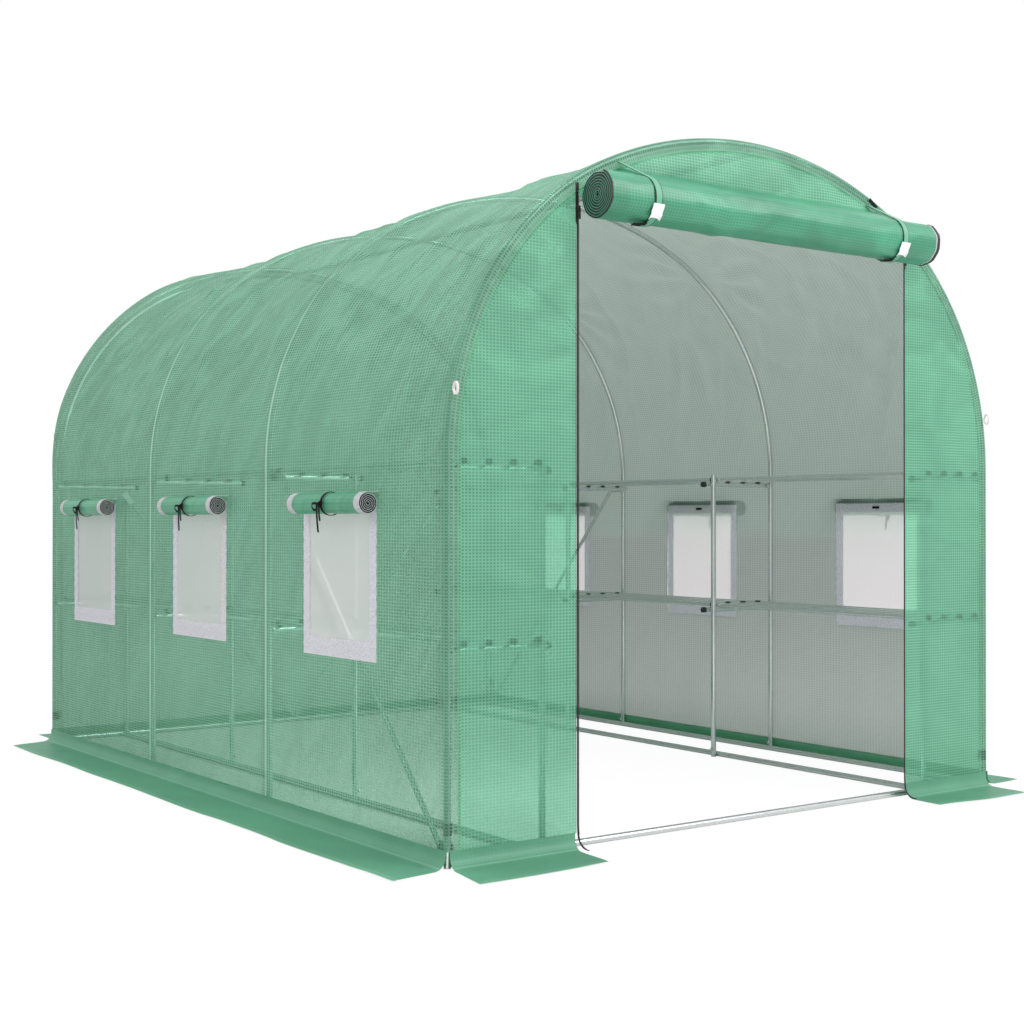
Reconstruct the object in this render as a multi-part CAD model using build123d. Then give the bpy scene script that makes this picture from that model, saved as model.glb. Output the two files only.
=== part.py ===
from build123d import *
import math
import os

# Walk-in polytunnel greenhouse: four tube hoops, base rails, two tiers of rod shelving
# down each side, a woven sheet cover with six windows, and a door rolled up at the front.
# Millimetres. X is the width, Y the length with the door at -Y, and Z is up from the ground.

# Frame of round steel tube
tunnel_length = 3000        # first hoop to last hoop, axis to axis
middle_bay = 930            # between the two middle hoops
hoop_half_width = 1130      # middle of the tunnel to the axis of a hoop leg
shoulder_radius = 937       # bend of the hoop above each leg, on the axis
shoulder_angle = 64.4       # degrees that the shoulder bend turns through
tube_diameter = 20
socket_gap = 3              # from the upper crossbar to the widened top of a leg
post_socket_length = 40     # widened top of the lower tube of a post
socket_wall = 0.7           # how far a widened end stands out
seat_gap = 0.2              # between two pieces that are bolted side by side or sewn edge to edge

# Shelving along both sides
post_inset = 317            # from the hoop leg to the post that carries the shelf ends
post_joint_height = 450     # where the two tubes of a post meet
upper_tier_height = 1072    # axis of the upper crossbars
leg_above_tier = 38         # a hoop leg ends this far above the upper crossbar
post_above_tier = 36
lower_tier_height = 578     # axis of the lower crossbars
crossbar_overhang = 26      # past the axis of the post, towards the aisle
rod_diameter = 16
rods_per_shelf = 4
shelf_back_gap = 30         # last rod to the hoop legs
rod_cap_wall = 1
rod_cap_length = 12
bar_cap_wall = 1
bar_cap_length = 14
rod_end_gap = 0.5           # between the rods of two bays, and at the cover

# Diagonal braces
brace_diameter = 16
brace_plate_thickness = 5
brace_plate_width = 26
brace_plate_length = 70
brace_overlap = 8           # of a tube on its flattened end
side_brace_foot_setback = 58    # from the end hoop to the bottom of the tube
side_brace_foot_height = 52
side_brace_head_setback = 70    # from the middle hoop to the top of the tube
side_brace_head_drop = 2        # below the axis of the upper crossbar
rear_brace_head_drop = 48
rear_brace_foot_spread = 24     # from the middle of the rear rail

# Cover of woven sheet, drawn at a thickness that a solid model can hold
cover_thickness = 2
cover_gap = 1               # between the tubes and the inside of the cover
hem_height = 45             # where the wall stops and the ground skirt starts
roof_seam_drop = 20         # the roof panel is joined to the side walls this far below the bend
skirt_reach = 195           # how far a skirt lies out from the wall
skirt_bend = 35
skirt_flare = 45            # how much further to the front the edge of a side skirt reaches
skirt_rear_cut = 100        # how much shorter that edge is at the rear
skirt_seam_gap = 0.2        # between the bent hem and the flat strip sewn to it
door_half_width = 700
door_head_drop = 241        # from the ridge of the hoops to the lower edge of the panel above the door
door_skirt_gap = 6

# Windows, three to a side
windows_per_side = 3
window_spacing = 980
window_shift = 42           # of each row: to the rear on the left wall, to the front on the right
window_width = 430
window_height = 470
window_top_drop = 77        # from the upper crossbars to the top of a window
window_side_border = 36
window_bottom_border = 55
window_top_border = 37
screen_thickness = 1

# Rolled flaps of the windows
flap_roll_diameter = 66     # a flap is as wide as its window
flap_roll_shift = 15        # of each roll: to the front on the left wall, to the rear on the right
flap_roll_drop = 15         # from the top of its window to the axis of the roll
flap_wall_gap = 3
flap_tie_width = 7
flap_tie_thickness = 1.4
flap_tie_gap = 0.3
long_tail = 85
short_tail = 50

# Rolled door
door_roll_diameter = 140
door_roll_drop = 5          # from the edge of the panel above the door to the axis of the roll
door_roll_shift = 12        # the roll hangs this far to the right of the doorway
door_roll_slack = 5         # narrower than the doorway
door_roll_gap = 4
strap_width = 25
strap_thickness = 2
strap_gap = 0.3
strap_inset = 170           # from each end of the roll
strap_patch = 38
strap_patch_thickness = 3
strap_patch_angle = -62     # degrees below the front of the roll
zip_width = 10
zip_thickness = 3

# Webbing loops for guy ropes
loop_rise = 175             # above the top of the hoop legs
loop_inset = 22             # from the outside of the side wall
loop_radius = 15
loop_thickness = 4
loop_width = 8

tube_radius = tube_diameter / 2
leg_height = upper_tier_height + leg_above_tier
post_height = upper_tier_height + post_above_tier
socket_length = leg_above_tier - tube_radius - socket_gap
side_brace_head_height = upper_tier_height - side_brace_head_drop
rear_brace_head_height = upper_tier_height - rear_brace_head_drop
half_length = tunnel_length / 2
hoop_places = (-half_length, -middle_bay / 2, middle_bay / 2, half_length)
post_place = hoop_half_width - post_inset
beside = tube_diameter + seat_gap
rod_cap_radius = rod_diameter / 2 + rod_cap_wall
bar_cap_radius = tube_radius + bar_cap_wall
brace_radius = brace_diameter / 2

# The hoop axis is a leg, a shoulder bend about shoulder_centre and a flatter crown bend
shoulder_turn = math.radians(shoulder_angle)
shoulder_centre = hoop_half_width - shoulder_radius
crown_radius = shoulder_radius + shoulder_centre / math.cos(shoulder_turn)
crown_centre_height = leg_height - shoulder_centre * math.tan(shoulder_turn)
crown_angle = 90 - shoulder_angle
ridge_height = crown_centre_height + crown_radius
door_head_height = ridge_height - door_head_drop

# Inner and outer faces of the cover, out from the hoop axis
cover_inside = tube_radius + cover_gap
cover_outside = cover_inside + cover_thickness
wall_inside = hoop_half_width + cover_inside
wall_outside = hoop_half_width + cover_outside
end_inside = half_length + cover_inside
end_outside = half_length + cover_outside
wall_top = leg_height - roof_seam_drop

nodes = {}


def inner_side(place):
    """Place beside a hoop, on the side that faces the middle of the tunnel."""
    return place + beside if place < 0 else place - beside


def bar(start, end, radius):
    """Straight round bar between two points."""
    run = Vector(*end) - Vector(*start)
    return Solid.make_cylinder(radius, run.length, Plane(origin=start, z_dir=run))


def block(low, high):
    """Box between two opposite corners."""
    size = [b - a for a, b in zip(low, high)]
    middle = [(a + b) / 2 for a, b in zip(low, high)]
    return Pos(*middle) * Box(*size)


def facing_rear(place):
    """Plane across the tunnel, with X and Z of the tunnel as its own axes."""
    return Plane(origin=(0, place, 0), x_dir=(1, 0, 0), z_dir=(0, -1, 0))


def arch_face(offset, foot):
    """Face under the arch of the hoop axis moved out by offset, down to the height foot."""
    side = hoop_half_width + offset
    bend = shoulder_radius + offset
    crown = crown_radius + offset
    outline = [
        Line((side, foot), (side, leg_height)),
        CenterArc((shoulder_centre, leg_height), bend, 0, shoulder_angle),
        CenterArc((0, crown_centre_height), crown, shoulder_angle, 2 * crown_angle),
        CenterArc((-shoulder_centre, leg_height), bend, 180 - shoulder_angle, shoulder_angle),
        Line((-side, leg_height), (-side, foot)),
        Line((-side, foot), (side, foot)),
    ]
    return make_face(outline)


def arch_slab(offset, foot, start, end):
    """Solid arch between two places along the tunnel."""
    return extrude(facing_rear(end) * arch_face(offset, foot), amount=end - start)


# Hoops: a straight leg with a widened top, a shoulder bend and a crown bend, butted end to end
def leg_tube(side, place):
    foot = (side * hoop_half_width, place, 0)
    top = (side * hoop_half_width, place, leg_height)
    below_top = (side * hoop_half_width, place, leg_height - socket_length)
    return bar(foot, top, tube_radius) + bar(below_top, top, tube_radius + socket_wall)


def shoulder_tube(side, place):
    section = Pos(side * hoop_half_width, place, leg_height) * Circle(tube_radius)
    turn = Axis((side * shoulder_centre, place, leg_height), (0, -side, 0))
    return revolve(section, axis=turn, revolution_arc=shoulder_angle)


def crown_tube(place):
    run = Vector(-math.sin(shoulder_turn), 0, math.cos(shoulder_turn))
    start = (
        crown_radius * math.cos(shoulder_turn),
        place,
        crown_centre_height + crown_radius * math.sin(shoulder_turn),
    )
    section = Plane(origin=start, z_dir=run) * Circle(tube_radius)
    turn = Axis((0, place, crown_centre_height), (0, -1, 0))
    return revolve(section, axis=turn, revolution_arc=2 * crown_angle)


for side_name, side in (("left", -1), ("right", 1)):
    nodes["leg_tubes_" + side_name] = [leg_tube(side, place) for place in hoop_places]
    nodes["shoulder_tubes_" + side_name] = [shoulder_tube(side, place) for place in hoop_places]
nodes["crown_tubes"] = [crown_tube(place) for place in hoop_places]
ridge_axis = ridge_height - beside
nodes["ridge_tube"] = [bar((0, -half_length, ridge_axis), (0, half_length, ridge_axis), tube_radius)]


# Base rails: the side rails lie against the legs, the end rails between them,
# and the inner rails against the posts
side_rail = hoop_half_width - beside
inner_rail = post_place + beside
end_rail = half_length - beside
side_rail_end = half_length + tube_radius
end_rail_reach = side_rail - tube_radius - seat_gap
inner_rail_end = end_rail - tube_radius - seat_gap
for side_name, side in (("left", -1), ("right", 1)):
    nodes["base_rail_" + side_name] = [
        bar(
            (side * side_rail, -side_rail_end, tube_radius),
            (side * side_rail, side_rail_end, tube_radius),
            tube_radius,
        )
    ]
    nodes["inner_rail_" + side_name] = [
        bar(
            (side * inner_rail, -inner_rail_end, tube_radius),
            (side * inner_rail, inner_rail_end, tube_radius),
            tube_radius,
        )
    ]
for end_name, place in (("front", -end_rail), ("rear", end_rail)):
    nodes["base_rail_" + end_name] = [
        bar((-end_rail_reach, place, tube_radius), (end_rail_reach, place, tube_radius), tube_radius)
    ]


# Posts: two tubes, the lower one widened where the upper one drops in
def shelf_post(side, place):
    across = side * post_place
    joint = post_joint_height - post_socket_length
    lower = bar((across, place, joint), (across, place, post_joint_height), tube_radius + socket_wall)
    return bar((across, place, 0), (across, place, post_height), tube_radius) + lower


# Crossbars: from each hoop leg past its post, with a cap on the aisle end
bar_inner_end = post_place - crossbar_overhang


def crossbar(side, place, height):
    beside_hoop = inner_side(place)
    outer = (side * hoop_half_width, beside_hoop, height)
    inner = (side * bar_inner_end, beside_hoop, height)
    return bar(outer, inner, tube_radius)


def crossbar_cap(side, place, height):
    beside_hoop = inner_side(place)
    start = (side * bar_inner_end, beside_hoop, height)
    end = (side * (bar_inner_end - bar_cap_length), beside_hoop, height)
    return bar(start, end, bar_cap_radius)


tiers = (("upper", upper_tier_height), ("lower", lower_tier_height))
nodes["crossbar_caps"] = []
for side_name, side in (("left", -1), ("right", 1)):
    nodes["shelf_posts_" + side_name] = [shelf_post(side, place) for place in hoop_places]
    nodes["crossbars_" + side_name] = [
        crossbar(side, place, height) for place in hoop_places for tier, height in tiers
    ]
    nodes["crossbar_caps"] += [
        crossbar_cap(side, place, height) for place in hoop_places for tier, height in tiers
    ]

# Shelf rods: each bay has its own set, lying on the crossbars by their end caps
first_rod = post_place + tube_radius + rod_cap_radius + seat_gap
last_rod = hoop_half_width - tube_radius - rod_cap_radius - shelf_back_gap
rod_spacing = (last_rod - first_rod) / (rods_per_shelf - 1)
rod_places = [first_rod + i * rod_spacing for i in range(rods_per_shelf)]
bar_places = [inner_side(place) for place in hoop_places]
cover_stop = end_inside - rod_end_gap
bay_ends = [
    (-cover_stop, bar_places[1] - rod_end_gap),
    (bar_places[1] + rod_end_gap, bar_places[2] - rod_end_gap),
    (bar_places[2] + rod_end_gap, cover_stop),
]
rod_rise = tube_radius + rod_cap_radius + seat_gap
nodes["rod_caps"] = []
for side_name, side in (("left", -1), ("right", 1)):
    for tier, height in tiers:
        level = height + rod_rise
        rods = []
        for across in rod_places:
            for start, end in bay_ends:
                rod_start = start + rod_cap_length
                rod_end = end - rod_cap_length
                x = side * across
                rods.append(bar((x, rod_start, level), (x, rod_end, level), rod_diameter / 2))
                nodes["rod_caps"].append(bar((x, start, level), (x, rod_start, level), rod_cap_radius))
                nodes["rod_caps"].append(bar((x, rod_end, level), (x, end, level), rod_cap_radius))
        nodes["shelf_" + tier + "_" + side_name] = rods


# Braces: a tube with flattened ends. The side braces lie against the inside of the hoop legs,
# the rear pair run from the middle of the rear rail to the posts.
plate_plane = hoop_half_width - tube_radius - seat_gap - brace_plate_thickness / 2


def side_plate(start, end, height):
    """Flattened end that reaches level from the brace to its hoop leg."""
    half = brace_plate_thickness / 2
    rise = brace_plate_width / 2
    return block((plate_plane - half, start, height - rise), (plate_plane + half, end, height + rise))


def side_brace():
    """Brace on the right of the tunnel at the rear."""
    foot_place = half_length - side_brace_foot_setback
    head_place = middle_bay / 2 + side_brace_head_setback
    foot = (plate_plane, foot_place, side_brace_foot_height)
    head = (plate_plane, head_place, side_brace_head_height)
    tube = bar(foot, head, brace_radius)
    foot_plate = side_plate(
        foot_place - brace_radius, half_length + tube_radius, side_brace_foot_height
    )
    head_plate = side_plate(
        middle_bay / 2 - tube_radius, head_place + brace_radius, side_brace_head_height
    )
    return tube + foot_plate + head_plate


def rear_brace(side):
    plane = half_length - tube_radius - seat_gap - brace_plate_thickness / 2
    foot_height = tube_diameter + seat_gap + brace_plate_length / 2
    foot = Vector(side * rear_brace_foot_spread, plane, foot_height)
    head = Vector(side * post_place, plane, rear_brace_head_height)
    run = (head - foot).normalized()
    reach = brace_plate_length / 2 - brace_overlap
    tube = bar(tuple(foot + run * reach), tuple(head - run * reach), brace_radius)
    along = Plane(origin=tuple(foot), x_dir=run, z_dir=(0, -1, 0))
    plate = Box(brace_plate_length, brace_plate_width, brace_plate_thickness)
    foot_plate = along * plate
    head_plate = along * (Pos((head - foot).length, 0, 0) * plate)
    return tube + foot_plate + head_plate


brace_right = side_brace()
nodes["brace_right"] = [brace_right]
nodes["brace_left"] = [Rot(0, 0, 180) * brace_right]
nodes["braces_rear"] = [rear_brace(-1), rear_brace(1)]


# Cover: side walls with their windows cut through, the arched roof and the two ends
window_top = upper_tier_height - window_top_drop
window_sill_height = window_top - window_height


def window_places(side):
    """Middles of the windows along one wall."""
    middle = (windows_per_side - 1) / 2
    return [(i - middle) * window_spacing - side * window_shift for i in range(windows_per_side)]


def side_wall(side):
    low, high = sorted((side * wall_inside, side * wall_outside))
    wall = block((low, -end_inside, hem_height), (high, end_inside, wall_top))
    for place in window_places(side):
        wall -= block(
            (low, place - window_width / 2, window_sill_height),
            (high, place + window_width / 2, window_top),
        )
    return wall


def end_wall(start, end):
    return arch_slab(cover_outside, hem_height, start, end)


outer_arch = arch_slab(cover_outside, wall_top, -end_inside, end_inside)
inner_arch = arch_slab(cover_inside, wall_top, -end_inside, end_inside)
ridge_seam = block(
    (-seat_gap / 2, -end_inside, wall_top),
    (seat_gap / 2, end_inside, ridge_height + cover_outside),
)
front_wall = end_wall(-end_outside, -end_inside)
door_way = block((-door_half_width, -end_outside, 0), (door_half_width, -end_inside, door_head_height))
beside_door = block(
    (door_half_width, -end_outside, 0),
    (wall_outside, -end_inside, ridge_height + cover_outside),
)
right_panel = front_wall & beside_door
left_panel = mirror(right_panel, about=Plane.YZ)
nodes["cover_left"] = [side_wall(-1)]
nodes["cover_right"] = [side_wall(1)]
nodes["cover_roof"] = [outer_arch - inner_arch - ridge_seam]
nodes["front_panel_left"] = [left_panel]
nodes["front_panel_right"] = [right_panel]
nodes["front_lunette"] = [front_wall - door_way - left_panel - right_panel]
nodes["rear_wall"] = [end_wall(end_inside, end_outside)]


# Ground skirts: the foot of each wall turns out in a bent hem, and a flat strip is sewn to the hem
def hem_face():
    t = cover_thickness
    r = skirt_bend
    outline = [
        Line((-t, hem_height), (-t, r + t)),
        CenterArc((r, r + t), r + t, 180, 90),
        Line((r, 0), (r, t)),
        CenterArc((r, r + t), r, 180, 90),
        Line((0, r + t), (0, hem_height)),
        Line((0, hem_height), (-t, hem_height)),
    ]
    return make_face(outline)


def strip_face():
    start = skirt_bend + skirt_seam_gap
    strip = Rectangle(skirt_reach - start, cover_thickness)
    return Pos((start + skirt_reach) / 2, cover_thickness / 2) * strip


def side_skirt(side, section):
    """Part of the skirt along a side wall, cut at a slant at both ends."""
    length = end_inside + skirt_flare
    plane = Plane(origin=(side * wall_outside, side * length, 0), x_dir=(side, 0, 0), z_dir=(0, -side, 0))
    full = extrude(plane * section, amount=2 * length)
    near = side * wall_inside
    far = side * (wall_outside + skirt_reach)
    rear_end = end_inside - skirt_rear_cut
    corners = [(near, -end_inside), (far, -length), (far, rear_end), (near, end_inside)]
    plan = extrude(make_face(Polyline(*corners, close=True)), amount=hem_height)
    return full & plan


def end_skirt(end, start, stop, section):
    """Part of the skirt along the front or rear wall between two places across the tunnel."""
    origin = (start if end > 0 else stop, end * end_outside, 0)
    plane = Plane(origin=origin, x_dir=(0, end, 0), z_dir=(end, 0, 0))
    return extrude(plane * section, amount=stop - start)


skirt_inner = door_half_width + door_skirt_gap
for section in (hem_face(), strip_face()):
    for name, shape in (
        ("skirt_left", side_skirt(-1, section)),
        ("skirt_right", side_skirt(1, section)),
        ("skirt_front_left", end_skirt(-1, -hoop_half_width, -skirt_inner, section)),
        ("skirt_front_right", end_skirt(-1, skirt_inner, hoop_half_width, section)),
        ("skirt_rear", end_skirt(1, -hoop_half_width, hoop_half_width, section)),
    ):
        nodes.setdefault(name, []).append(shape)


# Windows: a border of tape set in each opening, and a sheet of insect screen inside it
screen_low = window_sill_height + window_bottom_border
screen_high = window_top - window_top_border
screen_half = window_width / 2 - window_side_border


def window_frame(side, place):
    low, high = sorted((side * wall_inside, side * wall_outside))
    outer = block(
        (low, place - window_width / 2, window_sill_height),
        (high, place + window_width / 2, window_top),
    )
    return outer - block((low, place - screen_half, screen_low), (high, place + screen_half, screen_high))


def window_screen(side, place):
    middle = side * (wall_inside + cover_thickness / 2)
    half = screen_thickness / 2
    return block(
        (middle - half, place - screen_half, screen_low),
        (middle + half, place + screen_half, screen_high),
    )


# Each flap is rolled up on the outside of its window and tied with a ribbon
roll_radius = flap_roll_diameter / 2
flap_roll_length = window_width
roll_centre = wall_outside + flap_wall_gap + roll_radius
flap_roll_height = window_top - flap_roll_drop
tie_inner = roll_radius + flap_tie_gap
tie_outer = tie_inner + flap_tie_thickness


def flap_roll(side, place):
    half = flap_roll_length / 2
    x = side * roll_centre
    return bar((x, place - half, flap_roll_height), (x, place + half, flap_roll_height), roll_radius)


def flap_tie(side, place):
    """Ribbon round the middle of the roll with its two ends hanging."""
    start = place - flap_tie_width / 2
    end = start + flap_tie_width
    x = side * roll_centre
    z = flap_roll_height
    band = bar((x, start, z), (x, end, z), tie_outer) - bar((x, start, z), (x, end, z), tie_inner)
    near = side * (roll_centre + tie_inner)
    far = side * (roll_centre + tie_inner + 2 * flap_tie_thickness)
    low, high = sorted((near, far))
    tail = block((low, end + flap_tie_width, z - long_tail), (high, end + 2 * flap_tie_width, z))
    other = block((low, start, z - short_tail), (high, end, z))
    knot = block((low, start, z), (high, end + 2 * flap_tie_width, z + flap_tie_width))
    return band + tail + other + knot


nodes["window_frames"] = []
nodes["window_screens"] = []
nodes["window_rolls"] = []
nodes["window_ties"] = []
for side in (-1, 1):
    for place in window_places(side):
        nodes["window_frames"].append(window_frame(side, place))
        nodes["window_screens"].append(window_screen(side, place))
        roll_place = place + side * flap_roll_shift
        nodes["window_rolls"].append(flap_roll(side, roll_place))
        nodes["window_ties"].append(flap_tie(side, roll_place))


# Door: the panel is rolled up above the doorway, held by two straps, with a zip down each side
door_radius = door_roll_diameter / 2
door_roll_height = door_head_height - door_roll_drop
door_roll_left = door_roll_shift - door_half_width + door_roll_slack / 2
door_roll_right = door_roll_shift + door_half_width - door_roll_slack / 2
strap_positions = (door_roll_left + strap_inset, door_roll_right - strap_inset)
door_roll_place = -(end_outside + door_roll_gap + door_radius)
strap_inner = door_radius + strap_gap
strap_outer = strap_inner + strap_thickness


def door_strap(place):
    start = place - strap_width / 2
    end = place + strap_width / 2
    first = (start, door_roll_place, door_roll_height)
    last = (end, door_roll_place, door_roll_height)
    band = bar(first, last, strap_outer) - bar(first, last, strap_inner)
    turn = math.radians(strap_patch_angle)
    reach = strap_outer
    middle = (
        place + strap_width / 2,
        door_roll_place - reach * math.cos(turn),
        door_roll_height + reach * math.sin(turn),
    )
    outward = (0, -math.cos(turn), math.sin(turn))
    patch = Plane(origin=middle, x_dir=(1, 0, 0), z_dir=outward) * Box(
        strap_patch, strap_patch, strap_patch_thickness
    )
    return band + patch


zip_rise = math.sqrt((shoulder_radius + cover_inside) ** 2 - (door_half_width - shoulder_centre) ** 2)


def door_zip(side):
    low, high = sorted((side * door_half_width, side * (door_half_width + zip_width)))
    return block(
        (low, -end_outside - zip_thickness, hem_height),
        (high, -end_outside, leg_height + zip_rise - zip_width),
    )


nodes["door_roll"] = [
    bar(
        (door_roll_left, door_roll_place, door_roll_height),
        (door_roll_right, door_roll_place, door_roll_height),
        door_radius,
    )
]
nodes["door_straps"] = [door_strap(place) for place in strap_positions]
nodes["door_zips"] = [door_zip(-1), door_zip(1)]


# Loops: a ring of webbing that stands out from each end wall, near both of its side edges
def guy_loop(side, end):
    place = end * (end_outside + loop_radius)
    x = side * (wall_outside - loop_inset)
    z = leg_height + loop_rise
    start = (x - loop_width / 2, place, z)
    stop = (x + loop_width / 2, place, z)
    return bar(start, stop, loop_radius) - bar(start, stop, loop_radius - loop_thickness)


nodes["guy_loops"] = [guy_loop(side, end) for side in (-1, 1) for end in (-1, 1)]

os.makedirs("parts", exist_ok=True)
for name, shapes in nodes.items():
    solids = [solid for shape in shapes for solid in shape.solids()]
    piece = solids[0] if len(solids) == 1 else Compound(children=solids)
    export_step(piece, "parts/" + name + ".step")
print(len(nodes), "nodes, ridge at", round(ridge_height + cover_outside))
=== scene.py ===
from math import acos, atan2, copysign, cos, exp, hypot, pi, radians, sin, sqrt, tan

import bmesh
import bpy
from mathutils import Matrix, Vector, noise


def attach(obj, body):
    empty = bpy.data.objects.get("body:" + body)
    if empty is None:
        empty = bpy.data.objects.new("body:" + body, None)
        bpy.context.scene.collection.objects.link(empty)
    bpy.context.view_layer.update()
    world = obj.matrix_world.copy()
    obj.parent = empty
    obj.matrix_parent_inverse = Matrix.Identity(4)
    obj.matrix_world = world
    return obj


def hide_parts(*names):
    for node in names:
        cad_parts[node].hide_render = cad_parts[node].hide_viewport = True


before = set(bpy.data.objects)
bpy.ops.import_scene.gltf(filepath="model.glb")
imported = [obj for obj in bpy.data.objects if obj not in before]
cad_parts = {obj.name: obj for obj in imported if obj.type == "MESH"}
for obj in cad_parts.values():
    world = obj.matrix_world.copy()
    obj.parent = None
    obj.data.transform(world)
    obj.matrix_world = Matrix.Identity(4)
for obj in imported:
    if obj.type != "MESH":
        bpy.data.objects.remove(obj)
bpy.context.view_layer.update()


# Camera: it stands off the front left corner of the tunnel at waist height and looks level along
# the long side, so that the left wall, the open door and the right front panel all show.
camera_data = bpy.data.cameras.new("camera")
camera_data.sensor_width = 36
camera_data.lens = 54.92
camera = bpy.data.objects.new("camera", camera_data)
camera.location = (-3.4426, -4.9896, 0.9322)
camera.rotation_euler = (radians(90.29), 0, radians(-35.90))
bpy.context.scene.collection.objects.link(camera)
bpy.context.scene.camera = camera
bpy.context.scene.view_settings.view_transform = "Standard"


# Window ribbons, loose ends: each flap is tied with a black polyester ribbon 8 mm wide. Its two ends
# hang limp from the bow on the outside of the roll, one of 85 mm and one of 50 mm.
sides = (("left", -1), ("right", 1))
hoop_half_width = 1.130
wall_sheet = hoop_half_width + 0.012
window_spacing = 0.980
window_shift = 0.042
flap_radius = 0.033
flap_out = 0.037
flap_height = 0.980
flap_shift = 0.015
ribbon_width = 0.008
ribbon_thickness = 0.0018
ribbon_ends = (("long", 0.085, 0.014), ("short", 0.050, 0.001))


def colour(red, green, blue):
    """Linear colour for a shade named by its 0 to 255 values."""
    shares = [value / 255 for value in (red, green, blue)]
    return (*[c / 12.92 if c <= 10 / 255 else ((c + 0.055) / 1.055) ** 2.4 for c in shares], 1)


def add(tree, kind, **inputs):
    """New shader node, with its settings and sockets by name. A node or socket given is joined to it."""
    made = tree.nodes.new("ShaderNode" + kind)
    settings = {name: value for name, value in inputs.items() if hasattr(made, name)}
    for name, value in settings.items():
        setattr(made, name, value)
    for name, value in inputs.items():
        if name in settings:
            continue
        key = int(name[1:]) if name[0] == "_" else name.replace("_", " ")
        if isinstance(value, bpy.types.Node):
            value = value.outputs[0]
        if isinstance(value, bpy.types.NodeSocket):
            tree.links.new(value, made.inputs[key])
        else:
            made.inputs[key].default_value = value
    return made


def reckon(tree, operation, *values, **settings):
    """Math node on the values given."""
    sockets = {"_" + str(number): value for number, value in enumerate(values)}
    return add(tree, "Math", operation=operation, **sockets, **settings)


def ranged(tree, value, low, high, first=0, last=1):
    """Value carried over from low to high on to first to last, and held there."""
    return add(tree, "MapRange", Value=value, From_Min=low, From_Max=high, To_Min=first, To_Max=last)


def tinted(tree, tone, tint, share=1):
    """Tone multiplied by a tint."""
    return add(tree, "MixRGB", blend_type="MULTIPLY", Fac=share, Color1=tone, Color2=tint)


def finish_named(name):
    """Material with an empty node tree."""
    made = bpy.data.materials.new(name)
    made.use_nodes = True
    made.node_tree.nodes.clear()
    return made, made.node_tree


def fine_finish(name, kind, shades, rough, strength=0, depth=0.0003, specular=0.5, **pattern):
    """Finish whose tone and bump follow one fine pattern: waves on the cut, or noise on the object."""
    made, tree = finish_named(name)
    place = add(tree, "UVMap", uv_map="cut") if kind == "TexWave" else add(tree, "TexCoord").outputs["Object"]
    fine = add(tree, kind, Vector=place, **pattern).outputs["Fac"]
    tone = add(tree, "MixRGB", Fac=fine, Color1=colour(*shades[0]), Color2=colour(*shades[1]))
    shader = add(tree, "BsdfPrincipled", Base_Color=tone, Roughness=rough, Specular_IOR_Level=specular)
    if strength:
        rise = add(tree, "Bump", Strength=strength, Distance=depth, Height=fine)
        tree.links.new(rise.outputs[0], shader.inputs["Normal"])
    add(tree, "OutputMaterial", Surface=shader)
    return made


def window_places(side):
    """Middles of the three windows along one wall, front to rear."""
    return [(i - 1) * window_spacing - side * window_shift for i in range(3)]


def windows():
    """Every window: its name, its wall's name and side, its number and its middle along the wall."""
    for side_name, side in sides:
        for number, place in enumerate(window_places(side), 1):
            yield side_name + "_" + str(number), side_name, side, number, place


def evenly(stops, step):
    """Places from the first stop to the last, about step apart, with one at each stop."""
    places = [stops[0]]
    for low, high in zip(stops, stops[1:]):
        count = max(1, round((high - low) / step))
        places += [low + (high - low) * (i + 1) / count for i in range(count)]
    return places


def cloth(name, across, along, hang, finishes, node, thickness=0.001,
          keep=None, cut=None, flip=False, dark=None):
    """Sheet with a line of points at each place across and along, hung by moving its points.
    The UV map holds the flat cut in metres. The first finish is the outside, the second the inside."""
    bm = bmesh.new()
    bmesh.ops.create_grid(bm, x_segments=len(across) - 1, y_segments=len(along) - 1, size=1)
    for vert in bm.verts:
        i = round((vert.co.x + 1) / 2 * (len(across) - 1))
        j = round((vert.co.y + 1) / 2 * (len(along) - 1))
        vert.co = (across[i], along[j], 0)
    if keep:
        waste = [face for face in bm.faces if not keep(*face.calc_center_median().xy)]
        bmesh.ops.delete(bm, geom=waste, context="FACES")
    flat = bm.loops.layers.uv.new("cut")
    for face in bm.faces:
        face.smooth = True
        if dark:
            face.material_index = int(dark(*face.calc_center_median().xy))
        for loop in face.loops:
            place = loop.vert.co.xy
            loop[flat].uv = cut(*place) if cut else place
    for vert in bm.verts:
        vert.co = hang(vert.co.x, vert.co.y)
    if flip:
        bmesh.ops.reverse_faces(bm, faces=bm.faces)
    return sheet_piece(name, bm, finishes, node, thickness)


def sheet_piece(name, bm, finishes, node=None, thickness=0):
    """Makes a mesh a piece of the tunnel: gives it its thickness and hides the model part it stands for."""
    mesh = bpy.data.meshes.new(name)
    bm.to_mesh(mesh)
    bm.free()
    for finish in finishes:
        mesh.materials.append(finish)
    made = bpy.data.objects.new(name, mesh)
    bpy.context.scene.collection.objects.link(made)
    if thickness:
        solid = made.modifiers.new("thickness", "SOLIDIFY")
        solid.thickness = thickness
        solid.offset = 0
        solid.material_offset = len(finishes) - 1
        solid.material_offset_rim = -1
    bpy.context.view_layer.update()
    whole = bpy.data.meshes.new_from_object(made.evaluated_get(bpy.context.evaluated_depsgraph_get()))
    made.modifiers.clear()
    made.data = whole
    bpy.data.meshes.remove(mesh)
    whole.name = name
    whole.set_sharp_from_angle(angle=radians(50))
    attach(made, "root")
    if node:
        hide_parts(node)
    return made


ribbon_finish = fine_finish("black_ribbon", "TexWave", ((4, 4, 5), (13, 13, 15)), 0.8, 0.3, 0.0002,
                            0.25, Scale=500, bands_direction="Y")

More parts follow.
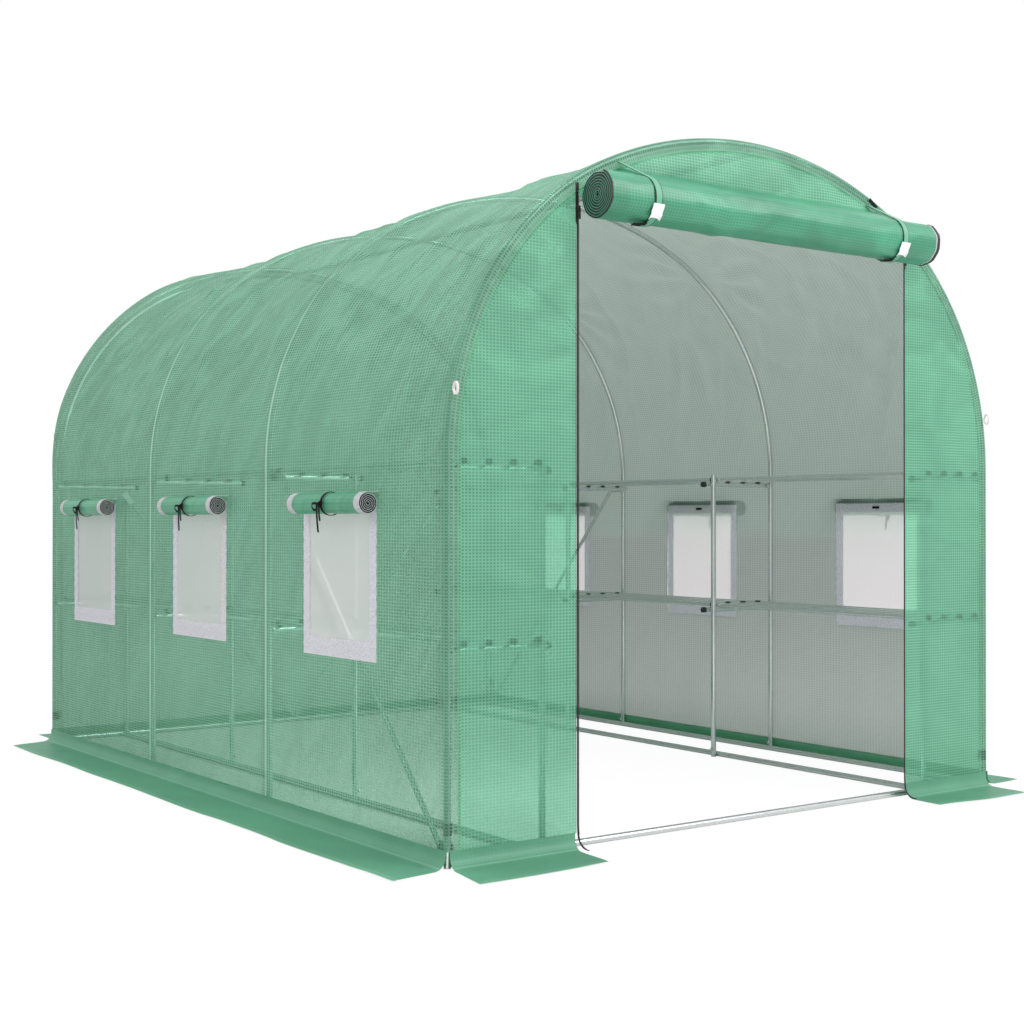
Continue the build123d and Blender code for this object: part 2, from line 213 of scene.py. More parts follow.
for window, side_name, side, number, place in windows():
    for end_name, length, shift in ribbon_ends:
        top = Vector((side * (wall_sheet + flap_out + flap_radius + 0.007),
                      place + side * flap_shift + shift, flap_height - 0.002))
        swing = 0.004 * sin(number * 2.3 + side + len(end_name))

        def ribbon_line(run):
            """Middle of the hanging end at a distance from the bow."""
            part = run / length
            return top + Vector((-side * 0.004 * part * part, swing * part * part, -run * 0.97))

        tail = cloth("window_ribbon_" + window + "_" + end_name,
                     evenly([-ribbon_width / 2, ribbon_width / 2], 0.0035), evenly([0, length], 0.006),
                     lambda a, run: ribbon_line(run) + Vector((0, a, 0)),
                     [ribbon_finish], "window_ties", ribbon_thickness, flip=side > 0)


# Floor and light: a pale studio floor and a plain white surround, with one large soft lamp before the
# right front corner and smaller ones to the left and above. Neither is part of the tunnel.
bm = bmesh.new()
bmesh.ops.create_grid(bm, x_segments=1, y_segments=1, size=60, matrix=Matrix.Translation((0, 0, -0.002)))
floor_mesh = bpy.data.meshes.new("floor")
bm.to_mesh(floor_mesh)
bm.free()
floor = bpy.data.objects.new("floor", floor_mesh)
bpy.context.scene.collection.objects.link(floor)
floor_finish, tree = finish_named("studio_floor")
ray = add(tree, "LightPath")
behind_sheet = reckon(tree, "GREATER_THAN", ray.outputs["Transparent Depth"], 0.5)
seen_behind = reckon(tree, "MULTIPLY", ray.outputs["Is Camera Ray"], behind_sheet)
floor_tone = add(tree, "MixRGB", Fac=seen_behind, Color1=(0.86, 0.86, 0.86, 1), Color2=(1.00, 0.82, 0.90, 1))
floor_matt = add(tree, "BsdfDiffuse", Color=floor_tone)
floor_glow = add(tree, "Emission", Color=(1, 1, 1, 1), Strength=1.04)
in_the_open = reckon(tree, "LESS_THAN", ray.outputs["Transparent Depth"], 0.5)
seen_open = reckon(tree, "MULTIPLY", ray.outputs["Is Camera Ray"], in_the_open)
glow_share = reckon(tree, "MULTIPLY", seen_open, 0.90)
floor_mix = add(tree, "MixShader", Fac=glow_share, _1=floor_matt, _2=floor_glow)
add(tree, "OutputMaterial", Surface=floor_mix)
floor_mesh.materials.append(floor_finish)

world = bpy.data.worlds.new("surround")
bpy.context.scene.world = world
world.use_nodes = True
tree = world.node_tree
tree.nodes.clear()
ray = add(tree, "LightPath")
camera_or_glossy = reckon(tree, "MAXIMUM", ray.outputs["Is Camera Ray"], ray.outputs["Is Glossy Ray"])
seen_any = reckon(tree, "MAXIMUM", camera_or_glossy, ray.outputs["Is Transmission Ray"])
in_the_open = reckon(tree, "LESS_THAN", ray.outputs["Transparent Depth"], 0.5)
seen_white = reckon(tree, "MULTIPLY", seen_any, in_the_open)
soft_light = add(tree, "Background", Color=(1, 1, 1, 1), Strength=0.72)
white = add(tree, "Background", Color=(1, 1, 1, 1), Strength=1)
surround = add(tree, "MixShader", Fac=seen_white, _1=soft_light, _2=white)
add(tree, "OutputWorld", Surface=surround)

for lamp_name, place, size, power in (
    ("lamp_right", (3.2, -6.5, 6.0), 5.0, 420),
    ("lamp_left", (-6.5, -2.5, 5.5), 4.0, 110),
    ("lamp_above", (-1.5, 0.5, 6.5), 3.0, 130),
):
    lamp_data = bpy.data.lights.new(lamp_name, "AREA")
    lamp_data.size = size
    lamp_data.energy = power
    lamp = bpy.data.objects.new(lamp_name, lamp_data)
    lamp.location = place
    lamp.rotation_euler = (Vector((0, 0, 1)) - Vector(place)).to_track_quat("-Z", "Y").to_euler()
    bpy.context.scene.collection.objects.link(lamp)


# Frame: round steel tube of 20 and 16 mm with a bright zinc coat. The hoops are butted tubes, and the
# rails, crossbars, shelf rods and braces are bolted or clipped to them.
zinc, tree = finish_named("zinc_coated_tube")
spot = add(tree, "TexCoord").outputs["Object"]
spangle = add(tree, "TexVoronoi", Vector=spot, Scale=160)
cloud = add(tree, "TexNoise", Vector=spot, Scale=9, Detail=3)
tone = add(tree, "MixRGB", Fac=spangle.outputs["Distance"], Color1=colour(208, 213, 213),
           Color2=colour(230, 233, 233))
tone_cloud = tinted(tree, tone, cloud.outputs["Color"], 0.12)
zinc_rough = ranged(tree, cloud, 0, 1, 0.10, 0.18)
zinc_bump = add(tree, "Bump", Strength=0.10, Distance=0.0003, Height=cloud.outputs["Fac"])
zinc_shader = add(tree, "BsdfPrincipled", Base_Color=tone_cloud, Metallic=0.9, Roughness=zinc_rough,
                  Normal=zinc_bump)
add(tree, "OutputMaterial", Surface=zinc_shader)


def coat(names, finish):
    """Gives nodes of the frame their finish."""
    for name in names:
        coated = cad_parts[name].data
        coated.materials.clear()
        coated.materials.append(finish)


tube_words = ("leg", "shoulder", "crown", "ridge", "base", "inner", "shelf", "crossbars", "brace", "braces")
coat([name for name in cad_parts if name.split("_")[0] in tube_words], zinc)


# Caps: push-on caps of dark moulded plastic, a short one on each end of a shelf rod and a longer one on
# the aisle end of each crossbar.
cap_finish = fine_finish("dark_cap_plastic", "TexNoise", ((22, 30, 27), (38, 48, 44)), 0.5, 0.2, 0.0002,
                         Scale=900, Detail=2)
coat(("rod_caps", "crossbar_caps"), cap_finish)


# Cover: one skin of woven polyethylene sheet, green with a pale reinforcing grid, clear enough for the
# tubes behind it to show. It is pulled over the hoops, turned round the end hoops and stitched there.
shoulder_radius = 0.937
shoulder_turn = radians(64.4)
shoulder_centre = hoop_half_width - shoulder_radius
crown_radius = shoulder_radius + shoulder_centre / cos(shoulder_turn)
leg_height = 1.110
crown_height = leg_height - shoulder_centre * tan(shoulder_turn)
sheet_offset = 0.012
half_length = 1.500
hoop_places = (-1.500, -0.465, 0.465, 1.500)
hem_height = 0.045
wall_top = 1.090
edge_band = 0.034
crown_run = (crown_radius + sheet_offset) * (pi / 2 - shoulder_turn)
shoulder_run = (shoulder_radius + sheet_offset) * shoulder_turn
edge_run = sheet_offset * pi / 2
end_face = half_length + sheet_offset


def over_hoop(run, out):
    """Place across and up, at a distance along the sheet from the ridge and out from the sheet."""
    side = copysign(1, run)
    run = abs(run)
    if run < crown_run:
        turn = run / (crown_radius + sheet_offset)
        reach = crown_radius + sheet_offset + out
        return side * reach * sin(turn), crown_height + reach * cos(turn)
    if run < crown_run + shoulder_run:
        turn = shoulder_turn - (run - crown_run) / (shoulder_radius + sheet_offset)
        reach = shoulder_radius + sheet_offset + out
        return side * (shoulder_centre + reach * cos(turn)), leg_height + reach * sin(turn)
    return side * (hoop_half_width + sheet_offset + out), leg_height - (run - crown_run - shoulder_run)


def ramp(value, low, high):
    """Rises smoothly from 0 at low to 1 at high."""
    part = min(1, max(0, (value - low) / (high - low)))
    return part * part * (3 - 2 * part)


def slack(run, along):
    """How far the sheet stands out from its straight line between the hoops."""
    for low, high in zip(hoop_places, hoop_places[1:]):
        if along <= high:
            break
    part = min(1, max(0, (along - low) / (high - low)))
    free = 4 * part * (1 - part)
    bent = 1 - ramp(abs(run), 1.15, 1.70)
    lift = -(0.019 * bent + 0.0015) * free
    lift += 0.006 * free * noise.noise(Vector((run * 2.1, along * 2.4, 3.7))) * (0.4 + 0.6 * bent)
    lift += 0.0016 * free * sin(along * 21 + run * 3.1) * ramp(abs(run), 0.9, 1.6)
    for hoop in hoop_places[1:3]:
        for side in (-1, 1):
            away = Vector((along - hoop, run - side * 0.80))
            fan = cos(atan2(abs(away.x), away.y * side) * 11 + hoop)
            lift += 0.0060 * exp(-((away.length - 0.20) / 0.13) ** 2) * fan * min(1, free * 3)
    ridge = 1 - 2.6 * abs(noise.noise(Vector((run * 2.6 - along * 1.6, along * 3.4 + run * 0.8, 12.4))))
    shown = ramp(abs(run), 0.36, 0.62)
    lift += 0.0120 * max(0, ridge) ** 3 * min(1, free * 2.5) * bent * shown
    crumple = noise.noise(Vector((run * 11, along * 8, 5.1))) * noise.noise(Vector((run * 2, along * 2, 9.9)))
    lift += 0.030 * crumple * min(1, free * 2) * (0.35 + 0.65 * bent) * shown
    rear = ramp(along, 0.85, 1.45) * ramp(-run, 0.30, 0.70) * (1 - ramp(-run, 1.35, 1.75))
    return lift + 0.016 * rear


def skin(run, along):
    """Point of the cover: past the end hoops it turns a quarter circle and lies on the end wall."""
    end = copysign(1, along)
    past = abs(along) - half_length
    if past <= 0:
        x, z = over_hoop(run, slack(run, along))
        return Vector((x, along, z))
    if past < edge_run:
        turn = past / sheet_offset
        x, z = over_hoop(run, slack(run, along) - sheet_offset * (1 - cos(turn)))
        return Vector((x, end * (half_length + sheet_offset * sin(turn)), z))
    x, z = over_hoop(run, slack(run, along) - sheet_offset - (past - edge_run))
    return Vector((x, end * (end_face + 0.0008), z))


# The reinforcing grid as a group: 1 on its lines, 0 in its squares
grid_group = bpy.data.node_groups.new("reinforcing_grid", "ShaderNodeTree")
for label, way, kind in (("Cut", "INPUT", "Vector"), ("Pitch X", "INPUT", "Float"),
                         ("Pitch Y", "INPUT", "Float"), ("Line", "INPUT", "Float"),
                         ("Lines", "OUTPUT", "Float")):
    grid_group.interface.new_socket(label, in_out=way, socket_type="NodeSocket" + kind)
grid_in = grid_group.nodes.new("NodeGroupInput")
grid_out = grid_group.nodes.new("NodeGroupOutput")
cut_parts = add(grid_group, "SeparateXYZ", _0=grid_in.outputs["Cut"])
edges = []
for axis in ("X", "Y"):
    squares = reckon(grid_group, "DIVIDE", cut_parts.outputs[axis], grid_in.outputs["Pitch " + axis])
    in_square = reckon(grid_group, "FRACT", squares)
    middle = reckon(grid_group, "SUBTRACT", in_square, 0.5)
    away = reckon(grid_group, "ABSOLUTE", middle)
    edges.append(reckon(grid_group, "SUBTRACT", 0.5, away))
near = reckon(grid_group, "MINIMUM", edges[0], edges[1])
line_edge = reckon(grid_group, "MULTIPLY", grid_in.outputs["Line"], 1.5)
lines = ranged(grid_group, near, line_edge, grid_in.outputs["Line"])
grid_group.links.new(lines.outputs[0], grid_out.inputs["Lines"])


def grey_ramp(tree, value, low, high, stops):
    """Colour ramp with grey stops between its low and high ends."""
    made = add(tree, "ValToRGB", Fac=value)
    for place, tone in enumerate((low, high)):
        made.color_ramp.elements[place].color = (tone, tone, tone, 1)
    for place, tone in stops:
        made.color_ramp.elements.new(place).color = (tone, tone, tone, 1)
    return made


# Marks along the sheet, in metres from its middle: over 0.5 is pale, a painted highlight over the hoops
# and a seam line at the edge of the turned band; under 0.5 is painted shade
mark_start = 0.40
mark_stop = 1.56
hoop_marks = ((0.420, 0.50), (0.442, 0.42), (0.4570, 0.36), (0.4600, 0.92), (0.4700, 0.92), (0.4730, 0.34),
              (0.488, 0.42), (0.510, 0.50))
edge_marks = ((1.470, 0.50), (1.4900, 0.42), (1.4970, 0.36), (1.5140, 0.32), (1.5160, 0.42), (1.5185, 0.50),
              (1.5200, 0.56), (1.5220, 0.56), (1.5240, 0.50), (1.5460, 0.50), (1.5480, 0.60), (1.5520, 0.60))


def seams_and_tubes(tree, cut, height, tone):
    """Pale lines where the sheet lies on a hoop, a painted highlight for the lit tube behind it, and where it
    is stitched, with painted shade beside them. Gives the new tone and how closed the sheet looks there."""
    place = add(tree, "SeparateXYZ", _0=cut)
    along = reckon(tree, "ABSOLUTE", place.outputs["Y"])
    share = ranged(tree, along, mark_start, mark_stop)
    marked = mark_stop - mark_start
    stops = [((where - mark_start) / marked, value) for where, value in hoop_marks + edge_marks]
    marks = grey_ramp(tree, share, 0.5, 0.5, stops)
    low = ranged(tree, height, 1.35, 1.95, 1, 0.10)
    # Painted shade beside the hoop and seam lines, and the painted highlight over the hoops, both fading
    # higher up
    shade = ranged(tree, marks, 0, 0.5, 0.9, 0)
    shade_low = reckon(tree, "MULTIPLY", shade, low)
    painted_highlight_and_seam = ranged(tree, marks, 0.5, 1, 0, 0.9)
    painted_highlight_and_seam_low = reckon(tree, "MULTIPLY", painted_highlight_and_seam, low)
    dark = add(tree, "MixRGB", Fac=shade_low, Color1=tone, Color2=colour(34, 82, 60))
    pale = add(tree, "MixRGB", Fac=painted_highlight_and_seam_low, Color1=dark, Color2=colour(214, 246, 230))
    closed = reckon(tree, "ADD", painted_highlight_and_seam_low, shade_low, use_clamp=True)
    return pale, closed


# Creases lean back along the roof by this turn, and are this share as wide as they are long
fold_lean = 0.55
fold_stretch = 0.34


def sheet_finish(name, square, line, glow, pitch, tint, clear=0.78, translucent=0.40, folds=1, touch=False):
    """Woven sheet: squares and grid lines, light through it, and things seen dimly through its squares.
    The far side of the sheet's own thickness adds nothing, so that one sheet dims the view only once."""
    made, tree = finish_named(name)
    cut = add(tree, "UVMap", uv_map="cut")
    spot = add(tree, "TexCoord").outputs["Object"]
    height = add(tree, "SeparateXYZ", _0=spot).outputs["Z"]
    grid = add(tree, "Group", node_tree=grid_group, Cut=cut, Pitch_X=pitch[0], Pitch_Y=pitch[1], Line=0.15)
    drawn = add(tree, "Mapping", vector_type="TEXTURE", Vector=spot, Rotation=(fold_lean, 0, 0),
                Scale=(1, fold_stretch, 1))
    crease = add(tree, "TexNoise", Vector=drawn, Scale=4.2, Detail=2, Distortion=1.2)
    cloud = add(tree, "TexNoise", Vector=spot, Scale=2.4, Detail=1)
    cloud_tone = ranged(tree, cloud, 0.3, 0.7, 0.93, 1.05)
    # Painted shade and highlight: the crease pattern darkens and lightens the tone and the view through, more
    # so higher up
    painted_fold_shade = ranged(tree, crease, 0.36, 0.64, 0.89, 1.17)
    loose = ranged(tree, height, 1.0, 1.6, 0.35 * folds, folds)
    fold_shade_tone = add(tree, "MixRGB", Fac=loose, Color1=(1, 1, 1, 1), Color2=painted_fold_shade)
    mixed = add(tree, "MixRGB", Fac=grid, Color1=colour(*square), Color2=colour(*line))
    clouded = tinted(tree, mixed, cloud_tone)
    toned = tinted(tree, clouded, fold_shade_tone)
    see_through = ranged(tree, grid, 0, 1, clear, clear * 0.55)
    if touch:
        toned, closed = seams_and_tubes(tree, cut, height, toned)
        open_part = reckon(tree, "SUBTRACT", 1, closed)
        see_through = reckon(tree, "MULTIPLY", see_through, open_part)
    bump_low = add(tree, "Bump", Strength=0.6, Distance=0.008, Height=crease)
    bump = add(tree, "Bump", Strength=0.25, Distance=0.0004, Height=grid, Normal=bump_low)
    skin_shader = add(tree, "BsdfPrincipled", Base_Color=toned, Roughness=0.34, Normal=bump)
    through = add(tree, "BsdfTranslucent", Color=colour(*glow), Normal=bump)
    matt = add(tree, "MixShader", Fac=translucent, _1=skin_shader, _2=through)
    seen_behind = add(tree, "BsdfTransparent", Color=tinted(tree, colour(*tint), fold_shade_tone))
    facing = add(tree, "NewGeometry").outputs["Backfacing"]
    near_side = add(tree, "MixShader", Fac=see_through, _1=matt, _2=seen_behind)
    far_side = add(tree, "BsdfTransparent")
    whole = add(tree, "MixShader", Fac=facing, _1=near_side, _2=far_side)
    add(tree, "OutputMaterial", Surface=whole)
    return made


wall_pitch = (0.0092, 0.0143)
end_pitch = (0.0114, 0.0091)
glow_outside = (160, 244, 204)
tint_outside = (182, 230, 205)
square_inside = (112, 138, 126)
line_inside = (144, 161, 152)
glow_inside = (170, 185, 177)
tint_inside = (206, 220, 212)
cover_finishes = [
    sheet_finish("cover_outside", (90, 203, 152), (156, 196, 176), glow_outside, wall_pitch, tint_outside,
                 touch=True),
    sheet_finish("cover_inside", square_inside, line_inside, glow_inside, wall_pitch, tint_inside, clear=0.36,
                 folds=0.4),
]
# The end walls are the same sheet as the cover in a brighter, greener tone: the extra brightness is painted
# light.
end_finishes = [
    sheet_finish("end_outside", (88, 222, 168), (152, 204, 180), glow_outside, end_pitch, (168, 238, 204),
                 clear=0.70),
    sheet_finish("end_inside", square_inside, line_inside, glow_inside, end_pitch, tint_inside, clear=0.36,
                 folds=0.4),
]
rolled_finishes = [
    sheet_finish("rolled_outside", (34, 146, 102), (88, 156, 128), glow_outside, end_pitch, tint_outside,
                 clear=0.0, translucent=0.10),
    sheet_finish("rolled_inside", (84, 128, 106), (110, 130, 120), glow_inside, end_pitch, tint_outside,
                 clear=0.0, translucent=0.10),
]

window_half = 0.215
window_low = 0.525
window_high = 0.995
turned_ends = [-(half_length + edge_run + edge_band), -(half_length + edge_run), -half_length]
ground_run = crown_run + shoulder_run + leg_height
roof_half = ground_run - wall_top


def along_stops(step, stops):
    """Places along the sheet, close together where it turns round the end hoops."""
    turned = evenly(turned_ends, 0.0048)[:-1]
    return turned + evenly([-half_length, *stops, half_length], step) + [-place for place in reversed(turned)]


for side_name, side in sides:
    heights = [ground_run - z for z in (wall_top, window_high, window_low, hem_height)]
    holes = [(place - window_half, place + window_half) for place in window_places(side)]

    def outside_windows(run, place):
        """False inside the window openings."""
        tall = heights[1] < run < heights[2]
        return not (tall and any(low < place < high for low, high in holes))

    wall = cloth("side_wall_" + side_name, evenly(heights, 0.016),
                 along_stops(0.016, [edge for hole in holes for edge in hole]),
                 lambda run, place: skin(side * run, place), cover_finishes,
                 "cover_" + side_name, keep=outside_windows, flip=side < 0)

roof = cloth("roof", evenly([-roof_half, 0, roof_half], 0.0175), along_stops(0.018, hoop_places[1:3]), skin,
             cover_finishes, "cover_roof")


# End walls: flat panels of the same sheet, sewn under the turned edge of the cover. At the front there
# is a panel each side of the doorway and a half-moon above it, at the rear one panel.
door_half = 0.700
door_head = 1.850
end_sheet = half_length + 0.0112
arch_inset = 0.026
arch_half = hoop_half_width - arch_inset
arch_crown = crown_radius - arch_inset
arch_bend = shoulder_radius - arch_inset


def arch_height(across):
    """Top of an end wall under the turned edge, at a distance from the middle."""
    across = abs(across)
    if across < arch_crown * cos(shoulder_turn):
        return crown_height + sqrt(arch_crown ** 2 - across ** 2)
    return leg_height + sqrt(max(0, arch_bend ** 2 - (across - shoulder_centre) ** 2))


def front_ripple(x, z):
    """Slight bellying of the panels beside the doorway."""
    belly = 0.004 * sin(pi * ramp(abs(x), door_half, arch_half))
    return belly * sin(pi * min(1, z / 1.6)) + 0.0022 * noise.noise(Vector((x * 5, z * 1.7, 8.1)))


panel_turn = acos((door_half - shoulder_centre) / arch_bend)
for side_name, side in sides:
    def panel_point(part, up):
        """Point of a front panel from its fractions outwards and upwards."""
        across = shoulder_centre + arch_bend * cos((1 - part) * panel_turn)
        z = hem_height + up * (arch_height(across) - hem_height)
        return Vector((side * across, -end_sheet - front_ripple(across, z), z))

    panel = cloth("front_wall_" + side_name, [sqrt(i / 30) * 0.999 for i in range(31)],
                  evenly([0, 1], 0.011), panel_point, end_finishes, "front_panel_" + side_name,
                  cut=lambda a, b: panel_point(a, b).xz, flip=side < 0)


def lunette_point(x, up):
    """Point of the half-moon, with soft folds that hang from the arch."""
    z = door_head + up * (arch_height(x) - door_head)
    fold = 0.5 + 0.5 * noise.noise(Vector((x * 7.5, z * 3.5, 1.3)))
    fold = (fold * 0.017 + 0.004 * sin(x * 34 + z * 11)) * sin(pi * up)
    return Vector((x, -end_sheet - max(0, fold), z))


lunette = cloth("front_half_moon", evenly([-door_half, door_half], 0.014), evenly([0, 1], 0.06),
                lunette_point, end_finishes, "front_lunette",
                cut=lambda a, b: (a, lunette_point(a, b).z))


def rear_point(turn, up):
    """Point of the rear wall from the angle across it and the fraction upwards."""
    across = arch_half * sin(turn)
    z = hem_height + up * (arch_height(across) - hem_height)
    belly = 0.006 * cos(turn) * sin(pi * min(1, z / 1.9))
    return Vector((across, end_sheet + belly + 0.003 * noise.noise(Vector((across * 3, z * 2, 5))), z))


rear = cloth("rear_wall_sheet", evenly([-1.55, 0, 1.55], 0.031), evenly([0, 1], 0.014), rear_point,
             end_finishes, "rear_wall", cut=lambda a, b: rear_point(a, b).xz, flip=True)


# Windows: each opening has a border of white tape sewn round it and a sheet of fine white insect
# screen behind, stitched along the border.
border_low = window_low + 0.055
border_high = window_high - 0.037
border_side = window_half - 0.036
screen_pitch = 0.0014

tape_finish, tree = finish_named("white_border_tape")
mottle = add(tree, "TexNoise", Vector=add(tree, "UVMap", uv_map="cut"), Scale=150, Detail=4)
spread = ranged(tree, mottle, 0.35, 0.65)
tape_tone = add(tree, "MixRGB", Fac=spread, Color1=colour(210, 204, 218), Color2=colour(254, 254, 254))
tape_bump = add(tree, "Bump", Strength=0.3, Distance=0.0005, Height=mottle)
tape_shader = add(tree, "BsdfPrincipled", Base_Color=tape_tone, Roughness=0.6, Normal=tape_bump)
tape_glow = add(tree, "BsdfTranslucent", Color=colour(222, 222, 228))
add(tree, "OutputMaterial", Surface=add(tree, "MixShader", Fac=0.42, _1=tape_shader, _2=tape_glow))

screen_finish, tree = finish_named("insect_screen")
screen_grid = add(tree, "Group", node_tree=grid_group, Cut=add(tree, "UVMap", uv_map="cut"),
                  Pitch_X=screen_pitch, Pitch_Y=screen_pitch, Line=0.16)
screen_thread = add(tree, "BsdfPrincipled", Base_Color=colour(246, 249, 247), Roughness=0.6)
screen_glow = add(tree, "BsdfTranslucent", Color=colour(248, 250, 249))
screen_mix = add(tree, "MixShader", Fac=0.5, _1=screen_thread, _2=screen_glow)
screen_hole = add(tree, "BsdfTransparent")
screen_open = ranged(tree, screen_grid, 0, 1, 0.50, 0.22)
screen_front = add(tree, "MixShader", Fac=screen_open, _1=screen_mix, _2=screen_hole)
screen_facing = add(tree, "NewGeometry").outputs["Backfacing"]
screen_whole = add(tree, "MixShader", Fac=screen_facing, _1=screen_front, _2=screen_hole)
add(tree, "OutputMaterial", Surface=screen_whole)

for window, side_name, side, number, place in windows():
    def border_point(y, z):
        """The tape lies on the cover and puckers a little at its seams."""
        pucker = 0.0008 * sin(y * 190) + 0.0008 * sin(z * 170 + 1)
        return Vector((side * (wall_sheet + 0.0006 + pucker), y, z))

    border = cloth(
        "window_border_" + window,
        evenly([place - window_half - 0.001, place - border_side, place + border_side,
                place + window_half + 0.001], 0.009),
        evenly([window_low - 0.001, border_low, border_high, window_high + 0.001], 0.0095),
        border_point, [tape_finish], "window_frames", 0.0016,
        keep=lambda y, z: not (abs(y - place) < border_side and border_low < z < border_high),
        flip=side < 0,
    )

    def screen_point(y, z):
        """The screen hangs between its seams with a slight belly."""
        up = sin(pi * (z - border_low) / (border_high - border_low))
        part = (1 - ((y - place) / border_side) ** 2) * up
        return Vector((side * (wall_sheet - 0.0012 - 0.0035 * max(0, part)), y, z))

    screen = cloth("window_screen_" + window,
                   evenly([place - border_side - 0.004, place + border_side + 0.004], 0.02),
                   evenly([border_low - 0.004, border_high + 0.004], 0.02), screen_point, [screen_finish],
                   "window_screens", 0.0004, flip=side < 0)


# Window flaps: each is a panel of cover sheet with a white tape edge, rolled up outwards on the wall
# above its window and tied with one ribbon in a bow.
def rolled(start, centre, radius, pitch, turns):
    """Section of a rolled sheet, out from the wall and up, from its seam to its loose end in the core."""
    away = Vector(start) - Vector(centre)
    first = atan2(away.x, away.y) + acos(min(1, radius / away.length))
    points = [Vector(start)]
    touch = Vector(centre) + radius * Vector((sin(first), cos(first)))
    for i in range(1, 6):
        points.append(Vector(start).lerp(touch, i / 6))
    for i in range(round(turns * 30) + 1):
        turn = first + 2 * pi * i / 30
        reach = radius - pitch * i / 30
        points.append(Vector(centre) + reach * Vector((sin(turn), cos(turn))))
    return points


def lengths(points):
    """Distance along a line of points to each of them."""
    runs = [0]
    for a, b in zip(points, points[1:]):
        runs.append(runs[-1] + (b - a).length)
    return runs


# Painted shade: the inner turns of each taped flap end, and the inner face of its tape, are near black for
# the shade in the roll's core and between its turns.
flap_core_shade_finish = fine_finish("flap_core_painted_shade", "TexNoise", ((5, 5, 6), (22, 22, 25)), 0.7, Scale=400,
                               Detail=2)
flap_half = 0.215
flap_tape = 0.030
flap_pitch = 0.0058
flap_turns = 5.0
last_white = 33
flap_section = rolled((0.001, flap_height + 0.033), (flap_out, flap_height), flap_radius - 0.0006, flap_pitch,
                      flap_turns)
flap_runs = lengths(flap_section)
flap_sheet = flap_half - flap_tape + 0.002
flap_steps = list(range(len(flap_section)))
for window, side_name, side, number, place in windows():
    middle = place + side * flap_shift

    def flap_point(y, index):
        """Point of a rolled flap: the middle is drawn in under its ribbon."""
        point = flap_section[round(index)]
        squeeze = 1 - 0.07 * exp(-((y - middle) / 0.018) ** 2)
        squeeze *= 1 + 0.018 * noise.noise(Vector((y * 14, index * 0.08, number + side)))
        out, up = (point.x - flap_out) * squeeze, (point.y - flap_height) * squeeze
        return Vector((side * (wall_sheet + flap_out + out), y, flap_height + up))

    flap = cloth("window_flap_" + window, evenly([middle - flap_sheet, middle, middle + flap_sheet], 0.0155),
                 flap_steps, flap_point, rolled_finishes, "window_rolls", 0.0010,
                 cut=lambda y, index: (flap_runs[round(index)], y), flip=side > 0)
    # The turns past last_white take the painted core shade.
    taped_ends = [
        cloth("window_flap_tape_" + window + "_" + end_name, evenly([middle + low, middle + high], 0.0075),
              flap_steps, flap_point, [tape_finish, flap_core_shade_finish], "window_rolls", 0.0021,
              cut=lambda y, index: (y, flap_runs[round(index)]), flip=side > 0,
              dark=lambda y, index: index > last_white)
        for end_name, low, high in (("front", -flap_half, flap_tape - flap_half),
                                    ("rear", flap_half - flap_tape, flap_half))
    ]


# Window ties: a ribbon goes once round the middle of each rolled flap and is tied on the outside in a
# small bow. Its inner end shows as a short black tab sewn to the border inside the tunnel.
def bent_strip(name, line, across, width, finish, node, thickness):
    """Narrow strip that follows a line of points, with its width along one direction."""
    across = Vector(across)
    return cloth(name, [-width / 2, 0, width / 2], list(range(len(line))),
                 lambda a, index: line[round(index)] + across * a, [finish], node, thickness,
                 cut=lambda a, index: (a, index * 0.003))


for window, side_name, side, number, place in windows():
    middle = place + side * flap_shift
    axis = Vector((side * (wall_sheet + flap_out), middle, flap_height))
    reach = flap_radius + 0.0015
    turns = [radians(angle) for angle in range(-160, 165, 8)]
    ring_line = [axis + Vector((side * reach * cos(turn), 0, reach * sin(turn))) for turn in turns]
    bent_strip("window_tie_ring_" + window, ring_line, (0, 1, 0), 0.009, ribbon_finish,
               "window_ties", 0.0018)
    knot_place = axis + Vector((side * (reach + 0.004), 0.006, 0))
    for loop_name, way, size, droop in (("front", -1, 0.022, 0.10), ("rear", 1, 0.032, 0.40)):
        loop_line = []
        for i in range(25):
            turn = pi * i / 24
            wide = sin(2 * turn)
            run = size * sin(turn)
            loop_line.append(knot_place + Vector((side * (0.002 + 0.0050 * wide), way * run,
                                                  -droop * run + 0.009 * wide * way)))
        bent_strip("window_bow_" + window + "_" + loop_name, loop_line, (0, 0, 1), 0.007, ribbon_finish,
                   "window_ties", 0.0016)
    bm = bmesh.new()
    bmesh.ops.create_icosphere(bm, subdivisions=2, radius=0.0055, matrix=Matrix.Translation(knot_place))
    for vert in bm.verts:
        away = vert.co - knot_place
        crease = 1 + 0.16 * sin(away.y * 900 + number) * cos(away.z * 700)
        vert.co = knot_place + Vector((away.x * 0.75, away.y * 1.15, away.z)) * crease
    sheet_piece("window_knot_" + window, bm, [ribbon_finish], "window_ties")
    cloth("window_tie_tab_" + window, evenly([middle - 0.017, middle + 0.017], 0.0045),
          evenly([flap_height - 0.005, flap_height + 0.004], 0.0045),
          lambda y, z: Vector((side * (wall_sheet - 0.003 - 0.0008 * sin(y * 300)), y, z)),
          [ribbon_finish], "window_ties", 0.0012, flip=side < 0)


# Ground skirts: strips of plain sheet sewn to the foot of each wall. They turn outwards in an easy
# bend and lie on the ground, where pegs or soil hold them.
skirt_seam = 0.009
skirt_bend = 0.035
skirt_reach = 0.195
bend_run = skirt_bend * pi / 2
skirt_run = skirt_seam + bend_run + skirt_reach - skirt_bend

